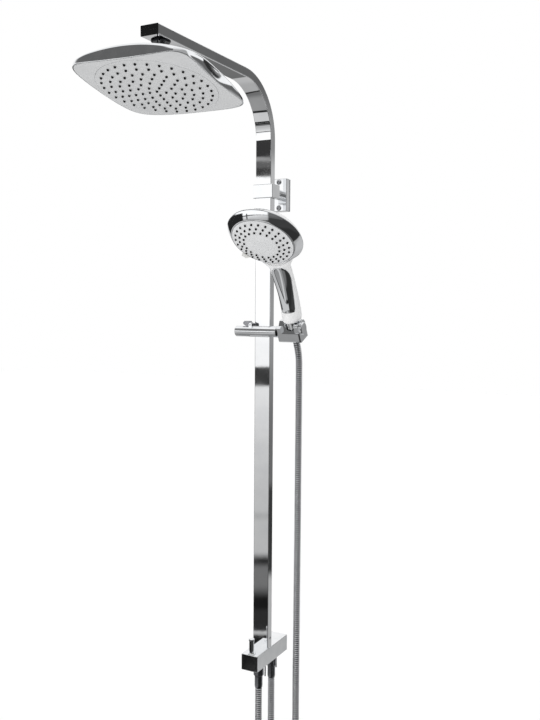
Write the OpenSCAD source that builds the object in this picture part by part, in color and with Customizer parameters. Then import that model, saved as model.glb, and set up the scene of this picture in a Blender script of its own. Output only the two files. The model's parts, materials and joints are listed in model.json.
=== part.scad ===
// Rainfall shower column: riser, overhead arm with a swivelling rain head, sliding handset and diverter block.
// Millimetres. +Z is up, +Y points into the wall, the wall is the plane y = 0 and the origin is the
// centre of the upper wall bracket.

/* [Riser and arm] */
// Width of the rectangular tube, side to side
tube_w = 30; // [28:1:32]
// Depth of the rectangular tube, front to back
tube_d = 15; // [14:0.5:16]
// Wall thickness of the tube
tube_wall = 1.2; // [0.8:0.1:1.6]
// Gap between the wall and the back of the tube
wall_gap = 60; // [58:1:64]
// Top of the arm above the bracket's centre
arm_top = 187; // [170:1:240]
// Reach of the arm's tip from the wall
arm_reach = 404; // [380:2:440]
// Outer radius of the bend
bend_r = 100; // [80:5:110]
// Bracket's centre down to the top of the diverter block
riser_drop = 809; // [780:1:900]

/* [Wall bracket] */
// Width of the bracket plate
bracket_w = 30; // [28:1:34]
// Height of the bracket plate
bracket_h = 58; // [56:1:70]
// Depth of plate and cover together
bracket_d = 16; // [15:1:20]
// Distance between the two wall screws
wall_screw_gap = 28; // [26:1:30]

/* [Diverter block] */
// Width of the block
block_w = 32; // [30:1:36]
// Height of the block
block_h = 29; // [28:1:32]
// Reach of the block from the wall
block_d = 115; // [112:1:124]
// Travel of the diverter pin
diverter_lift = 8; // [6:1:8]

/* [Rain head] */
// Width of the head, side to side
head_w = 189; // [180:1:200]
// Length of the head, front to back
head_l = 184; // [178:1:204]
// Squareness of the outline, 2 is an ellipse
head_square = 6; // [4:0.5:8]
// Tilt of the head back towards the wall
head_tilt = 10.4; // [0:0.2:15]
// Turn of the head about its own axis
head_yaw = 2.8; // [-30:0.2:30]
// Rings of nozzles round the centre one
head_rings = 6; // [4:1:6]

/* [Slider and handset] */
// Height of the slider's bar from the bracket's centre
slider_z = -242.5; // [-300:0.5:-200]
// Diameter of the slider's bar
bar_d = 19; // [18:0.5:20]
// Lean of the handset from the vertical
handset_lean = 26; // [24:1:28]
// Radius of the turning spray plate
plate_r = 51; // [50:0.5:52]

/* [Hoses] */
// Outer diameter of both hoses
hose_d = 12.5; // [11:0.5:13]

/* [Hidden] */
$fn = 48;
fit = 0.05;             // running clearance on a radius
gap = 0.3;              // free clearance between two pieces that only pass each other

tube_y = -wall_gap - tube_d/2;
tube_corner = 1.2;
split_z = -13;          // where the arm tube meets the riser tube, just under the tee
bend_z = arm_top - bend_r;
cap_t = 1.5;
block_top = -riser_drop;
block_floor = block_top - block_h;

ball_r = 9.5;
ball_y = 27 - arm_reach;
ball_z = arm_top - 35;
neck_r = 5.5;

ring_drop = 48.8;       // ball centre down to the outer ring of nozzles, along the head's axis
under_r = 940;          // radius of the head's gently domed underside
top_r = 300;            // radius of the head's domed top
under_low = 3.2;        // underside centre below the outer ring
hub_rise = 34;          // top of the dome above the outer ring
ring_pitch = 12.93;
face_r = 86;
ring_counts = [5, 10, 15, 20, 24, 30];
ring_start = 172.4;     // direction of the first nozzle of each ring

bar_y = -80.5;
bar_left = -48.6;
bar_right = 33;
handset_x = 58;
handset_foot = [handset_x, -55, slider_z - 22.5];
face_centre = [handset_x, -185.7, slider_z + 140.9];
face_turn = -36.3;      // turns +Z to the direction from the spray face into the handset
dish_r = 156;           // radius of the domed spray plate
rim_r = 63.5;
rim_s = 19;             // rim of the handset behind the first ring of nozzles
neck_w = 150;           // along the handle, where the handle turns into the head
handle_foot_w = 48.5;    // along the handle, where its shell begins

front_port_y = -80.6;
rear_port_y = -32;
diverter_y = -107;
port_end = block_floor - 43;

// ---------------------------------------------------------------- shared shapes

module rounded_rect(w, d, r) {
    square([w - 2*r, d], center = true);
    square([w, d - 2*r], center = true);
    for (sx = [-1, 1], sy = [-1, 1])
        translate([sx*(w/2 - r), sy*(d/2 - r)]) circle(r = r, $fn = 32);
}

module rounded_bar(w, d, h, r) {
    linear_extrude(h) rounded_rect(w, d, r);
}

// A block whose twelve edges are all rounded
module soft_block(x, y, z, r) {
    intersection() {
        translate([0, 0, -z/2]) linear_extrude(z) rounded_rect(x, y, r);
        rotate([90, 0, 0]) translate([0, 0, -y/2]) linear_extrude(y) rounded_rect(x, z, r);
        rotate([0, 90, 0]) translate([0, 0, -x/2]) linear_extrude(x) rounded_rect(z, y, r);
    }
}

module tube_profile(grow = 0) {
    rounded_rect(tube_w + 2*grow, tube_d + 2*grow, max(0.3, tube_corner + grow));
}

module tube_section() {
    difference() {
        tube_profile();
        tube_profile(-tube_wall);
    }
}

module along_x(x, y, z) {
    translate([x, y, z]) rotate([0, 90, 0]) children();
}

// Points along +Y from the given point
module along_y(x, y, z) {
    translate([x, y, z]) rotate([-90, 0, 0]) children();
}

module at_head() {
    translate([0, ball_y, ball_z]) rotate([-head_tilt, 0, 0]) rotate([0, 0, head_yaw]) children();
}

// Handle frame: +Z runs up the handle, +Y points to its back
module at_handle() {
    translate(handset_foot) rotate([handset_lean, 0, 0]) children();
}

// Spray face frame: +Z runs from the face into the handset, +Y points to the handle
module at_face() {
    translate(face_centre) rotate([face_turn, 0, 0]) children();
}

// Two triangles for each cell between ring i and ring k of n points
function band(i, k, n) = [
    for (j = [0:n - 1], half = [0, 1])
        half == 0 ? [i*n + j, k*n + j, k*n + (j + 1) % n]
                  : [i*n + j, k*n + (j + 1) % n, i*n + (j + 1) % n]
];

function flatten(list) = [for (item = list) each item];

// Solid through a stack of rings, closed at both ends
module skin(rings) {
    n = len(rings[0]);
    m = len(rings);
    polyhedron(points = flatten(rings), faces = concat(
        [[for (j = [0:n - 1]) j]],
        flatten([for (i = [0:m - 2]) band(i, i + 1, n)]),
        [[for (j = [n - 1:-1:0]) (m - 1)*n + j]]
    ), convexity = 8);
}

// Hollow skin: the rings go up the outside and come back down the inside
module shell_skin(rings) {
    n = len(rings[0]);
    m = len(rings);
    polyhedron(points = flatten(rings), faces = flatten([for (i = [0:m - 1]) band(i, (i + 1) % m, n)]),
        convexity = 8);
}

// ---------------------------------------------------------------- wall bracket

plate_t = 5;

module wall_plate() {
    color("dimgray") difference() {
        along_y(0, -plate_t, 0) rounded_bar(bracket_w - 0.6, bracket_h - 0.6, plate_t, 1.5);
        for (side = [-1, 1]) {
            along_y(0, -plate_t - 1, side*wall_screw_gap/2) cylinder(r = 2.75, h = plate_t + 2);
            along_y(0, -plate_t - 1, side*23) cylinder(r = 2 + fit, h = plate_t + 2);
        }
        along_y(0, -plate_t - 1, 0) cylinder(r = 5 + fit, h = plate_t + 2);
    }
}

module bracket_cover() {
    color("silver") difference() {
        translate([0, -(bracket_d + plate_t)/2, 0])
            soft_block(bracket_w, bracket_d - plate_t, bracket_h, 1);
        translate([0, -plate_t - 4, 0])
            cube([bracket_w - 5, 8.001, 38], center = true);
        for (side = [-1, 1])
            along_y(0, -bracket_d - 1, side*23) cylinder(r = 2.2, h = bracket_d);
        along_y(0, -bracket_d - 1, 0) cylinder(r = 5 + fit, h = bracket_d);
    }
}

module button_head(r, h, hex) {
    difference() {
        rotate_extrude() intersection() {
            translate([0, h - (r*r + h*h)/(2*h)]) circle(r = (r*r + h*h)/(2*h), $fn = 96);
            square([r, h + 1]);
        }
        translate([0, 0, h - 1.8]) cylinder(r = hex/2/cos(30), h = 3, $fn = 6);
    }
}

module cover_screws() {
    color("silver") for (side = [-1, 1]) translate([0, -bracket_d, side*23]) {
        rotate([90, 0, 0]) button_head(5, 2.6, 3);
        rotate([-90, 0, 0]) cylinder(r = 2, h = bracket_d - 0.5);
    }
}

tee_w = 38;
tee_h = 24;
tee_back = 49;

module bracket_stem() {
    color("silver") {
        along_y(0, -tee_back, 0) cylinder(r = 9, h = tee_back - bracket_d);
        along_y(0, -tee_back - 8, 0) cylinder(r = 6, h = 8.01);
        along_y(0, -bracket_d - 0.01, 0) cylinder(r = 5, h = bracket_d - 0.5);
    }
}

module bracket_tee() {
    tee_front = wall_gap + tube_d + 2;
    color("silver") difference() {
        translate([0, -(tee_front + tee_back)/2, 0]) soft_block(tee_w, tee_front - tee_back, tee_h, 1.2);
        translate([0, tube_y, -tee_h/2 - 1]) linear_extrude(tee_h + 2) tube_profile(fit);
        along_y(0, -tee_back - 8.5, 0) cylinder(r = 6 + fit, h = 9);
        translate([0, -tee_back - 5, -tee_h/2 - 1]) cylinder(r = 2 + fit, h = tee_h/2);
    }
}

module stem_grub_screw() {
    color("dimgray") translate([0, -tee_back - 5, -tee_h/2 + 0.3]) difference() {
        cylinder(r = 2, h = 5.6);
        translate([0, 0, -1]) cylinder(r = 1.1, h = 3, $fn = 6);
    }
}

// ---------------------------------------------------------------- arm and riser

module arm_tube() {
    straight_end = arm_reach - cap_t;
    color("gainsboro") difference() {
        union() {
            translate([0, tube_y, split_z]) linear_extrude(bend_z - split_z) tube_section();
            translate([0, tube_y + tube_d/2 - bend_r, bend_z]) rotate([90, 0, 90]) rotate_extrude(angle = 90)
                translate([bend_r - tube_d/2, 0]) rotate(90) tube_section();
            translate([0, tube_y + tube_d/2 - bend_r, arm_top - tube_d/2]) rotate([90, 0, 0])
                linear_extrude(straight_end + tube_y + tube_d/2 - bend_r) tube_section();
        }
        translate([0, ball_y, arm_top - tube_d - 1]) cylinder(r = 6 + fit, h = tube_wall + 2);
    }
}

module arm_end_cap() {
    color("silver") {
        translate([0, -arm_reach + cap_t, arm_top - tube_d/2]) rotate([90, 0, 0])
            linear_extrude(cap_t) tube_profile();
        translate([0, -arm_reach + cap_t + 8, arm_top - tube_d/2]) rotate([90, 0, 0])
            linear_extrude(8) tube_profile(-tube_wall - fit);
    }
}

module riser_tube() {
    color("gainsboro") difference() {
        translate([0, tube_y, block_top]) linear_extrude(split_z - block_top) tube_section();
        along_x(0, tube_y + 1.5, block_top + 16) cylinder(r = 2.5 + fit, h = tube_w);
    }
}

sleeve_low = -48;
sleeve_high = 22;

module joint_sleeve() {
    color("sandybrown") translate([0, tube_y, 0]) difference() {
        translate([0, 0, sleeve_low]) linear_extrude(sleeve_high - sleeve_low) tube_profile(-tube_wall - fit);
        translate([0, 0, sleeve_low - 1]) linear_extrude(sleeve_high - sleeve_low + 2)
            tube_profile(-tube_wall - 2.6);
        for (z = [split_z - 12, split_z + 8]) translate([0, 0, z]) linear_extrude(2.4) difference() {
            tube_profile(1);
            tube_profile(-tube_wall - 1.4);
        }
    }
}

module joint_orings() {
    color("dimgray") for (z = [split_z - 12, split_z + 8]) translate([0, tube_y, z + 0.1]) linear_extrude(2.2)
        difference() {
            tube_profile(-tube_wall - 0.02);
            tube_profile(-tube_wall - 1.38);
        }
}

// ---------------------------------------------------------------- rain head joint

module ball_stud() {
    under_arm = arm_top - tube_d - ball_z;
    color("silver") translate([0, ball_y, ball_z]) difference() {
        union() {
            sphere(r = ball_r, $fn = 96);
            cylinder(r = 4, h = 12);
            translate([0, 0, ball_r]) cylinder(r = neck_r, h = under_arm - ball_r + 0.01);
            translate([0, 0, under_arm]) cylinder(r = 6, h = tube_d - tube_wall - 0.1);
        }
        translate([0, 0, -ball_r - 1]) cylinder(r = 2.5, h = under_arm + ball_r + 9);
        translate([-20, 0, under_arm + 6]) rotate([0, 90, 0]) cylinder(r = 2.5, h = 40);
    }
}

module ball_collar() {
    under_arm = arm_top - tube_d;
    color("black") translate([0, ball_y, under_arm - 3]) rotate_extrude()
        polygon([[neck_r + fit, 0], [12.5, 0], [14, 1.5], [14, 3], [neck_r + fit, 3]]);
}

seat_r = 11.5;          // outside of the seat ring, a sphere about the ball's centre
seat_low = -6;
seat_high = 5;

module seat_ring() {
    color("white") at_head() rotate_extrude() intersection() {
        difference() {
            circle(r = seat_r, $fn = 96);
            circle(r = ball_r + fit, $fn = 96);
        }
        translate([0, seat_low]) square([20, seat_high - seat_low]);
    }
}

nut_tail = -26;
hub_bore = 12;
dome_top = hub_rise - ring_drop;

module socket_nut() {
    tail_r = hub_bore - fit;
    color("silver") at_head() difference() {
        rotate_extrude() difference() {
            polygon([[0, nut_tail], [tail_r, nut_tail], [tail_r, dome_top + gap], [14, dome_top + gap],
                [15.5, dome_top + 2], [15.5, 2], [12.5, 6], [0, 6]]);
            circle(r = seat_r + fit, $fn = 96);
            translate([0, 5]) square([8.2, 10]);
            translate([0, nut_tail - 1]) square([5, 20]);
            translate([tail_r - 2.4, nut_tail + 3]) square([4, 2.6]);
        }
        for (k = [0:11]) rotate([0, 0, 30*k]) translate([16.3, 0, -20]) cylinder(r = 1.4, h = 40);
    }
}

module nut_oring() {
    color("dimgray") at_head() translate([0, 0, nut_tail + 4.3]) rotate_extrude()
        translate([hub_bore - 1.22, 0]) circle(r = 1.15, $fn = 24);
}

// ---------------------------------------------------------------- rain head

function sq_r(t, a, b, p) = pow(pow(abs(cos(t))/a, p) + pow(abs(sin(t))/b, p), -1/p);
function head_outline(inset) = [
    for (k = [0:119]) let (t = 3*k, r = sq_r(t, head_w/2 - inset, head_l/2 - inset, head_square))
        [r*cos(t), r*sin(t)]
];

// Distance from the head's axis to a height on the two domes, in the head's frame
function under_z(r, lift) = -ring_drop - under_low + under_r - sqrt(pow(under_r - lift, 2) - r*r);
function top_z(r, drop) = dome_top - top_r + sqrt(pow(top_r - drop, 2) - r*r);

// Space between the two domes, drawn as half its section
module dome_section(r_max) {
    steps = 24;
    polygon(concat(
        [for (i = [0:steps]) let (r = r_max*i/steps) [r, under_z(r, 0)]],
        [for (i = [steps:-1:0]) let (r = r_max*i/steps) [r, top_z(r, 0)]]
    ));
}

skin_t = 2.4;
lip = 1.2;

// Top of the underside skin: it thins where the head's corners come to an edge
function fascia_top(r) = min(under_z(r, skin_t), top_z(r, 0) - 1);

module outline_prism(inset) {
    translate([0, 0, -80]) linear_extrude(100) polygon(head_outline(inset));
}

// Everything below a profile z(r), given as a list of [r, z] from the axis outwards
module below(profile) {
    rotate_extrude($fn = 96) polygon(concat([[0, -80], [profile[len(profile) - 1].x, -80]],
        [for (i = [len(profile) - 1:-1:0]) profile[i]]));
}

module head_back_shell() {
    cavity_r = 112;
    color("gainsboro") at_head() difference() {
        union() {
            difference() {
                intersection() {
                    rotate_extrude($fn = 96) dome_section(122);
                    outline_prism(0);
                }
                intersection() {
                    below([for (i = [0:24]) let (r = cavity_r*i/24) [r, top_z(r, skin_t)]]);
                    outline_prism(skin_t);
                }
                intersection() {
                    below([for (r = [0:5:120]) [r, fascia_top(r) + 0.08]]);
                    outline_prism(lip);
                }
            }
            translate([0, 0, -34]) cylinder(r = 16, h = dome_top + 33);
        }
        translate([0, 0, -60]) cylinder(r = hub_bore, h = 80);
    }
}

module head_fascia() {
    color("lightgray") at_head() difference() {
        intersection() {
            rotate_extrude($fn = 96) polygon(concat(
                [for (r = [0:5:120]) [r, under_z(r, 0)]],
                [for (r = [120:-5:0]) [r, fascia_top(r)]]
            ));
            outline_prism(lip + 0.1);
        }
        translate([0, 0, -80]) cylinder(r = face_r, h = 60);
    }
}

function nozzle_spots() = concat([[0, 0]], flatten([
    for (ring = [1:head_rings]) [for (k = [0:ring_counts[ring - 1] - 1])
        let (t = ring_start + 360*k/ring_counts[ring - 1]) [ring*ring_pitch*cos(t), ring*ring_pitch*sin(t)]]
]));

module head_face_plate() {
    color("gainsboro") at_head() difference() {
        rotate_extrude($fn = 96) polygon(concat(
            [for (i = [0:16]) let (r = (face_r - 0.15)*i/16) [r, under_z(r, 0)]],
            [for (i = [16:-1:0]) let (r = (face_r - 0.15)*i/16) [r, under_z(r, skin_t)]]
        ));
        for (p = nozzle_spots()) translate([p.x, p.y, -80]) cylinder(r = 1.9, h = 60, $fn = 16);
    }
}

module head_nozzles() {
    color("dimgray") at_head() for (p = nozzle_spots())
        translate([p.x, p.y, under_z(norm(p), 0) - 2]) {
            cylinder(r1 = 1.1, r2 = 1.8, h = 2.2, $fn = 16);
            translate([0, 0, 2.19]) cylinder(r = 1.8, h = skin_t + 0.6, $fn = 16);
        }
}

module head_water_plate() {
    color("white") at_head() difference() {
        union() {
            translate([0, 0, -42]) cylinder(r = 84, h = 2);
            translate([0, 0, -40.01]) cylinder(r = 20, h = 7);
            translate([0, 0, -45.7]) difference() {
                cylinder(r = 84, h = 4);
                translate([0, 0, -1]) cylinder(r = 81.5, h = 6);
            }
        }
        translate([0, 0, -60]) cylinder(r = 8, h = 40);
        translate([0, 0, -38]) cylinder(r = 16 + fit, h = 10);
    }
}

// ---------------------------------------------------------------- diverter block

module diverter_block() {
    mid_z = block_top - block_h/2;
    color("silver") difference() {
        translate([0, -block_d/2, mid_z]) soft_block(block_w, block_d, block_h, 1);
        // spigot of the riser
        translate([0, tube_y, block_top - 12]) cylinder(r = 6 + fit, h = 20);
        // diverter chamber
        translate([0, diverter_y, block_floor + 5]) cylinder(r = 6.5, h = block_h);
        // water ports in the underside
        for (y = [front_port_y, rear_port_y]) translate([0, y, block_floor - 1]) cylinder(r = 5, h = 12);
        // waterways: rear port to chamber along one side, chamber to riser, chamber to front port
        along_y(11, diverter_y, block_floor + 8) cylinder(r = 2.6, h = rear_port_y - diverter_y);
        for (y = [diverter_y, rear_port_y]) along_x(0, y, block_floor + 8) cylinder(r = 2.6, h = 11);
        along_y(0, diverter_y, block_top - 10) cylinder(r = 2.4, h = tube_y - diverter_y);
        // wall spigot and its locking pin, and the pin that locks the post
        along_y(0, -4, mid_z) cylinder(r = 12 + fit, h = 10);
        along_y(0, -24, mid_z) cylinder(r = 5 + fit, h = 30);
        translate([0, -13, block_floor - 1]) cylinder(r = 1.3 + fit, h = block_h/2);
        translate([0, -56, block_floor - 1]) cylinder(r = 1.3 + fit, h = 11);
    }
}

module wall_spigot() {
    mid_z = block_top - block_h/2;
    color("dimgray") difference() {
        union() {
            along_y(0, -4, mid_z) cylinder(r = 12, h = 4);
            along_y(0, -23.5, mid_z) cylinder(r = 5, h = 20);
        }
        along_y(0, -30, mid_z) cylinder(r = 2.75, h = 40);
    }
}

module locking_pins() {
    mid_z = block_top - block_h/2;
    color("white") {
        translate([0, -13, block_floor - 32]) cylinder(r = 1.3, h = mid_z - 5 - block_floor + 32 - 0.1);
        translate([0, -56, block_floor - 32]) cylinder(r = 1.3, h = 41);
    }
}

module diverter_gland() {
    color("silver") translate([0, diverter_y, block_top]) rotate_extrude()
        polygon([[2.6, -7], [6.45, -7], [6.45, 0], [7.4, 0], [7.4, 0.9], [6.9, 1.4], [2.6, 1.4]]);
}

module diverter_stem() {
    color("darkkhaki") translate([0, diverter_y, block_floor + 5.5]) rotate_extrude()
        polygon([[0, 0], [5.2, 0], [5.2, 0.8], [4.2, 0.8], [4.2, 3], [5.2, 3], [5.2, 3.8], [2.5, 3.8],
            [2.5, 28], [0, 28]]);
}

module diverter_orings() {
    color("dimgray") translate([0, diverter_y, block_floor + 5.5 + 1.9]) rotate_extrude()
        translate([5.25, 0]) circle(r = 1, $fn = 24);
}

module diverter_knob() {
    knob_low = block_top + 1.8;
    color("silver") translate([0, diverter_y, knob_low]) difference() {
        rotate_extrude() polygon([[0, 0], [4.5, 0], [4.5, 21.5], [5.2, 22], [5.2, 24.4], [4.6, 25], [0, 25]]);
        translate([0, 0, -1]) cylinder(r = 2.5 + fit, h = 9.8);
    }
}

module post_spigot() {
    color("silver") translate([0, tube_y, 0]) difference() {
        union() {
            translate([0, 0, block_top]) linear_extrude(30) tube_profile(-tube_wall - fit);
            translate([0, 0, block_top - 11.5]) cylinder(r = 6, h = 11.6);
        }
        translate([0, 0, block_top - 20]) cylinder(r = 4, h = 60);
        translate([0, 0, block_top + 22]) linear_extrude(2.4) difference() {
            tube_profile(1);
            tube_profile(-tube_wall - 1.4);
        }
        along_x(9, 1.5, block_top + 16) cylinder(r = 2.5 + fit, h = 20);
    }
}

module spigot_oring() {
    color("dimgray") translate([0, tube_y, block_top + 22.1]) linear_extrude(2.2) difference() {
        tube_profile(-tube_wall - 0.02);
        tube_profile(-tube_wall - 1.38);
    }
}

module post_grub_screw() {
    color("dimgray") along_x(9.2, tube_y + 1.5, block_top + 16) difference() {
        cylinder(r = 2.5, h = 5.5);
        translate([0, 0, 3]) cylinder(r = 1.4, h = 4, $fn = 6);
    }
}

module port_nipples() {
    color("silver") for (y = [front_port_y, rear_port_y]) translate([0, y, block_floor]) rotate_extrude()
        polygon([[2.5, 8], [4.95, 8], [4.95, 0], [8, 0], [8, -4], [6.4, -4], [6.4, -16], [2.5, -16]]);
}

module port_washers() {
    color("dimgray") for (y = [front_port_y, rear_port_y]) translate([0, y, block_floor - 18]) difference() {
        cylinder(r = 6.4, h = 2);
        translate([0, 0, -1]) cylinder(r = 3, h = 4);
    }
}

module hose_nuts() {
    color("dimgray") for (y = [front_port_y, rear_port_y]) translate([0, y, block_floor]) rotate_extrude()
        polygon([[6.45, -4.1], [8.6, -4.1], [9.2, -5], [9.2, -19], [8.4, -20], [4.2, -20], [4.2, -18.05],
            [6.45, -18.05]]);
}

module hose_ferrules() {
    color("dimgray") for (y = [front_port_y, rear_port_y]) translate([0, y, block_floor]) rotate_extrude()
        polygon([[3, -18], [4.1, -18], [4.1, -20.1], [7, -20.1], [7.1, -22], [7.1, -39], [6.6, -42], [5.8, -43],
            [3, -43]]);
}

// ---------------------------------------------------------------- slider

sleeve_x = 19.5;
sleeve_back = -49;
lever_pin_x = -17;
lever_pin_z = slider_z + 11.5;

module slider_body() {
    color("silver") difference() {
        union() {
            along_x(bar_left, bar_y, slider_z) rotate_extrude() polygon([
                [0, 0], [bar_d/2 - 1, 0], [bar_d/2, 1], [bar_d/2, bar_right - bar_left - 0.5],
                [bar_d/2 - 0.5, bar_right - bar_left], [0, bar_right - bar_left]
            ]);
            translate([0, (bar_y - 6 + sleeve_back)/2, slider_z])
                soft_block(2*sleeve_x, sleeve_back - bar_y + 6, bar_d, 1.5);
            for (y = [bar_y - 8.1, bar_y + 5.3]) {
                along_y(lever_pin_x, y, lever_pin_z) cylinder(r = 3, h = 1.8);
                translate([lever_pin_x - 3, y, slider_z + 5]) cube([6, 1.8, lever_pin_z - slider_z - 5]);
            }
        }
        translate([0, tube_y, slider_z - 20]) linear_extrude(40) tube_profile(gap);
        // pocket of the brake shoe, open to the tube
        translate([-sleeve_x + 0.6, tube_y - 5.6, slider_z - 7]) cube([6, 11.2, 14]);
        // notch under the lever
        translate([lever_pin_x - 16, bar_y - 6.2, slider_z + 6.5]) cube([19.5, 11.4, 20]);
        along_y(lever_pin_x, bar_y - 10, lever_pin_z) cylinder(r = 1.5 + fit, h = 20);
        along_x(bar_right - 14, bar_y, slider_z) cylinder(r = 4 + fit, h = 20);
    }
}

module brake_shoe() {
    color("black") translate([-sleeve_x + 0.65, tube_y - 5.5, slider_z - 6.9])
        cube([sleeve_x - 0.65 - tube_w/2 - 0.1, 11, 13.8]);
}

module lever_pin() {
    color("dimgray") along_y(lever_pin_x, bar_y - 8, lever_pin_z) cylinder(r = 1.5, h = 15);
}

module clamp_lever() {
    reach = 15;
    color("gray") translate([lever_pin_x, bar_y - 5.9, lever_pin_z]) difference() {
        union() {
            rotate([-90, 0, 0]) cylinder(r = 2.9, h = 10.8);
            rotate([90, 0, 0]) translate([0, 0, -10.8]) linear_extrude(10.8)
                polygon([[0, 2.9], [-4, 5.4], [-11, 6.2], [-reach, 4.6], [-reach, 1], [-8, -3.6], [0, -2.9]]);
            for (k = [0:3]) translate([-4.5 - 2.6*k, 0, 5.6]) rotate([-90, 0, 0]) cylinder(r = 0.9, h = 10.8);
        }
        translate([0, -1, 0]) rotate([-90, 0, 0]) cylinder(r = 1.5 + fit, h = 20);
    }
}

module holder_pivot() {
    color("silver") along_x(bar_right - 13.5, bar_y, slider_z) difference() {
        cylinder(r = 4, h = 20.5);
        translate([0, 0, 17.5]) cylinder(r = 1.5, h = 4, $fn = 6);
    }
}

module friction_washer() {
    color("dimgray") along_x(bar_right, bar_y, slider_z) difference() {
        cylinder(r = 7.5, h = 0.8);
        translate([0, 0, -1]) cylinder(r = 4 + fit, h = 3);
    }
}

cup_left = bar_right + 0.9 - handset_x;
cup_right = 18;
cup_front = -18;
cup_back = 17;
cup_low = 12.5;
cup_lip = 30;           // top of the front wall
cup_top = 46;           // top of the wall beside the handset
knob_at = [-11, 38];    // axis of the tilt knob in the handle frame, across and along it

function cone_r(w) = 8.6 + 0.095*w;

// A profile drawn across and along the handle, pushed from x = from to x = to
module side_profile(from, to) {
    at_handle() translate([from, 0, 0]) rotate([90, 0, 90]) linear_extrude(to - from) children();
}

module holder_cup() {
    color("silver") difference() {
        union() {
            intersection() {
                at_handle() translate([0, 0, cup_low]) linear_extrude(cup_top - cup_low) polygon([
                    [cup_left, cup_front + 1], [cup_left + 1, cup_front], [cup_right - 2, cup_front],
                    [cup_right, cup_front + 2], [cup_right, cup_back - 5], [cup_right - 6, cup_back],
                    [cup_left + 12, cup_back], [cup_left, cup_back - 12]
                ]);
                side_profile(cup_left - 1, cup_right + 1) polygon([
                    [cup_front, cup_low + 3], [cup_front + 3, cup_low], [cup_back, cup_low],
                    [cup_back, cup_top - 12], [8, cup_top], [0, cup_top], [cup_front, cup_lip]
                ]);
            }
            // hub at the end of the bar, flush with the front
            intersection() {
                along_x(bar_right + 0.9, bar_y, slider_z) cylinder(r = bar_d/2 + 0.4, h = 8);
                at_handle() translate([cup_left - 1, cup_front, 0]) cube(60);
            }
            // lug of the tilt knob
            side_profile(cup_right - 8, cup_right) translate(knob_at) rounded_rect(14, 16, 4);
        }
        at_handle() {
            rotate_extrude() polygon([[0, cup_low - 4], [cone_r(cup_low - 4) + 2, cup_low - 4],
                [cone_r(cup_top + 4) + 2, cup_top + 4], [0, cup_top + 4]]);
            translate([-7, 0, cup_low - 5]) cube([14, 30, 60]);
            translate([cup_right - 4, knob_at.x, knob_at.y]) rotate([0, 90, 0]) cylinder(r = 2.5 + fit, h = 10);
        }
        along_x(bar_right - 1, bar_y, slider_z) cylinder(r = 4 + fit, h = 8.2);
    }
}

module cup_liner() {
    color("white") at_handle() difference() {
        rotate_extrude() polygon([
            [cone_r(cup_low) + 0.15, cup_low], [cone_r(cup_low) + 1.95, cup_low],
            [cone_r(cup_lip) + 1.95, cup_lip], [cone_r(cup_lip) + 0.15, cup_lip]
        ]);
        translate([-7, 0, cup_low - 5]) cube([14, 30, 60]);
    }
}

module tilt_knob() {
    color("silver") at_handle() translate([cup_right, knob_at.x, knob_at.y]) rotate([0, 90, 0]) {
        difference() {
            translate([0, 0, 1]) rotate_extrude()
                polygon([[0, 0], [9, 0], [11, 1.5], [11, 5.5], [9.5, 7.2], [0, 7.2]]);
            for (k = [0:11]) rotate([0, 0, 30*k]) translate([12.3, 0, -1]) cylinder(r = 2, h = 12);
        }
        translate([0, 0, -3.6]) cylinder(r = 2.5, h = 5);
    }
}

// ---------------------------------------------------------------- handset

cone_low = 10;          // bottom of the cone nut and the seat of the hose inside it, along the handle
seat_w = 33;

module cone_nut() {
    color("silver") at_handle() rotate_extrude() polygon([
        [6.5, cone_low], [cone_r(cone_low) - 0.6, cone_low], [cone_r(cone_low), cone_low + 1],
        [cone_r(40), 40], [cone_r(43), 42], [cone_r(43), 46.5], [cone_r(42), 47.8],
        [8 + fit, 47.8], [8 + fit, seat_w], [6.5, seat_w]
    ]);
}

module handset_ferrule() {
    color("silver") at_handle() rotate_extrude() polygon([
        [3, cone_low + 1], [6.45, cone_low + 1], [6.45, seat_w + 0.05], [7.8, seat_w + 0.05],
        [7.8, seat_w + 2], [3, seat_w + 2]
    ]);
}

module handset_washer() {
    color("dimgray") at_handle() translate([0, 0, seat_w + 2]) difference() {
        cylinder(r = 7.8, h = 2);
        translate([0, 0, -1]) cylinder(r = 4, h = 4);
    }
}

module handset_tail() {
    color("white") at_handle() translate([0, 0, seat_w + 4.05]) difference() {
        cylinder(r = 8, h = 20);
        translate([0, 0, -1]) cylinder(r = 5, h = 30);
    }
}

// Half width, half depth and middle of the handle at a station along it: it bows back between foot and neck
function lerp(a, b, t) = a + (b - a)*t;
function ease(t) = t*t*(3 - 2*t);
function along_handle(w) = (w - handle_foot_w)/(neck_w - handle_foot_w);
function foot_round(w) = w > handle_foot_w + 5 ? 0 : 1 - sin(90*(w - handle_foot_w)/5);
function handle_a(w) = lerp(16.8, 19, ease(max(0, (w - 90)/(neck_w - 90)))) - 1.2*foot_round(w);
function handle_b(w) = lerp(18.6, 14.5, ease(along_handle(w))) - 1.2*foot_round(w);
function handle_y(w) = lerp(2.6, -1.5, ease(along_handle(w))) + 5.4*sin(180*along_handle(w));

sides = 40;
function oval(centre, dir, a, b, power = 2) = [
    for (j = [0:sides - 1]) let (
        t = 360*j/sides,
        c = pow(abs(cos(t)), 2/power)*sign(cos(t)),
        s = pow(abs(sin(t)), 2/power)*sign(sin(t))
    ) [a*c, centre.x + dir.x*b*s, centre.y + dir.y*b*s]
];

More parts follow.
